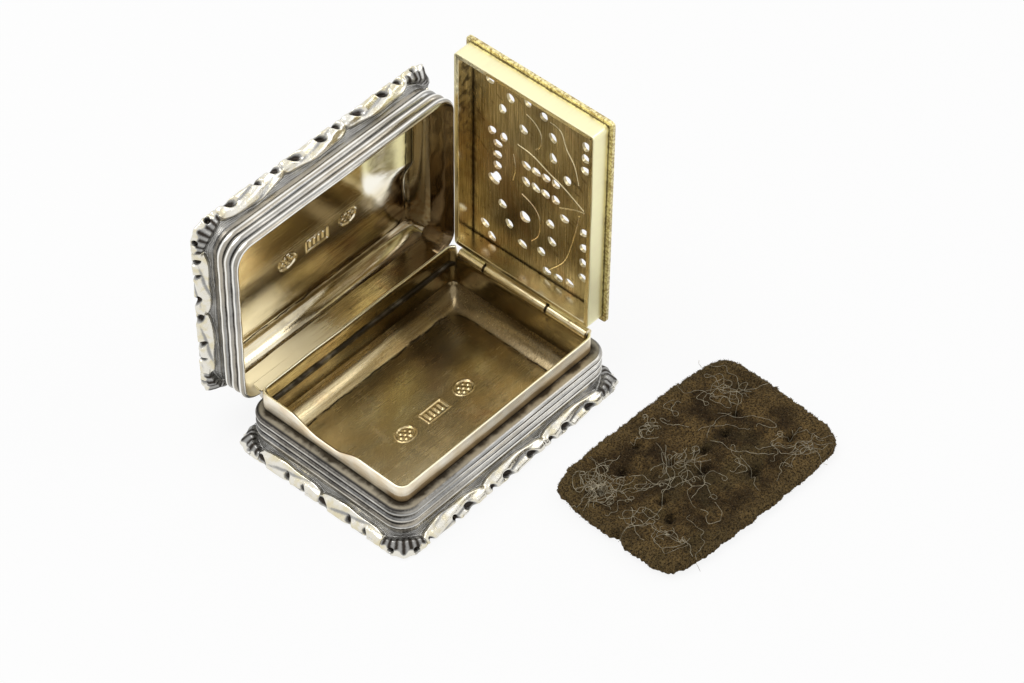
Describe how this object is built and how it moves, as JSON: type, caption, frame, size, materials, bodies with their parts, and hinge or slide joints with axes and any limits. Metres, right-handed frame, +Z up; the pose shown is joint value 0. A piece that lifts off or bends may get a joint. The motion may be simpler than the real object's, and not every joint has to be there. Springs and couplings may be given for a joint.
{
  "type": "vinaigrette",
  "caption": "Small rectangular silver scent box with reeded walls and cast leaf borders, a hinged lid, a gilt inside, a hinged pierced grille and a loose sponge.",
  "frame": {"origin": "centre of the base's underside, on the table", "axes": "+X along the box towards the grille's hinge, +Y across the box towards the lid's hinge, +Z up"},
  "size_m": [0.055, 0.0644, 0.0456],
  "materials": {
    "silver": "polished silver, tarnished in the recesses",
    "gilt": "worn silver-gilt with a brown patina",
    "sponge": "matted brown sponge with loose pale fibres"
  },
  "bodies": {
    "base": {"base_plate": "silver", "base_wall": "silver", "base_bezel": "gilt", "base_border_front": "silver", "base_border_back": "silver", "base_border_left": "silver", "base_border_right": "silver", "base_bearer": "silver", "base_knuckles": "silver", "lid_pin": "silver", "grille_base_knuckles": "gilt", "grille_pin": "silver"},
    "lid": {"lid_plate": "silver", "lid_wall": "silver", "lid_border_front": "silver", "lid_border_back": "silver", "lid_border_left": "silver", "lid_border_right": "silver", "lid_bearer": "silver", "lid_knuckles": "silver"},
    "grille": {"grille_plate": "gilt", "grille_frame": "gilt", "grille_knuckle": "gilt"},
    "sponge": {"sponge": "sponge"}
  },
  "joints": [
    {"name": "lid_hinge", "type": "hinge", "parent": "base", "child": "lid", "pos_m": [0, 0.01405, 0.00678], "axis": [-1, 0, 0], "range_deg": [-3, 50]},
    {"name": "grille_hinge", "type": "hinge", "parent": "base", "child": "grille", "pos_m": [0.0182, 0, 0.009], "axis": [0, 1, 0], "range_deg": [-90, 0]},
    {"name": "sponge_lift", "type": "slide", "parent": "base", "child": "sponge", "axis": [0, 0, 1], "range_m": [0, 0.03]}
  ]
}
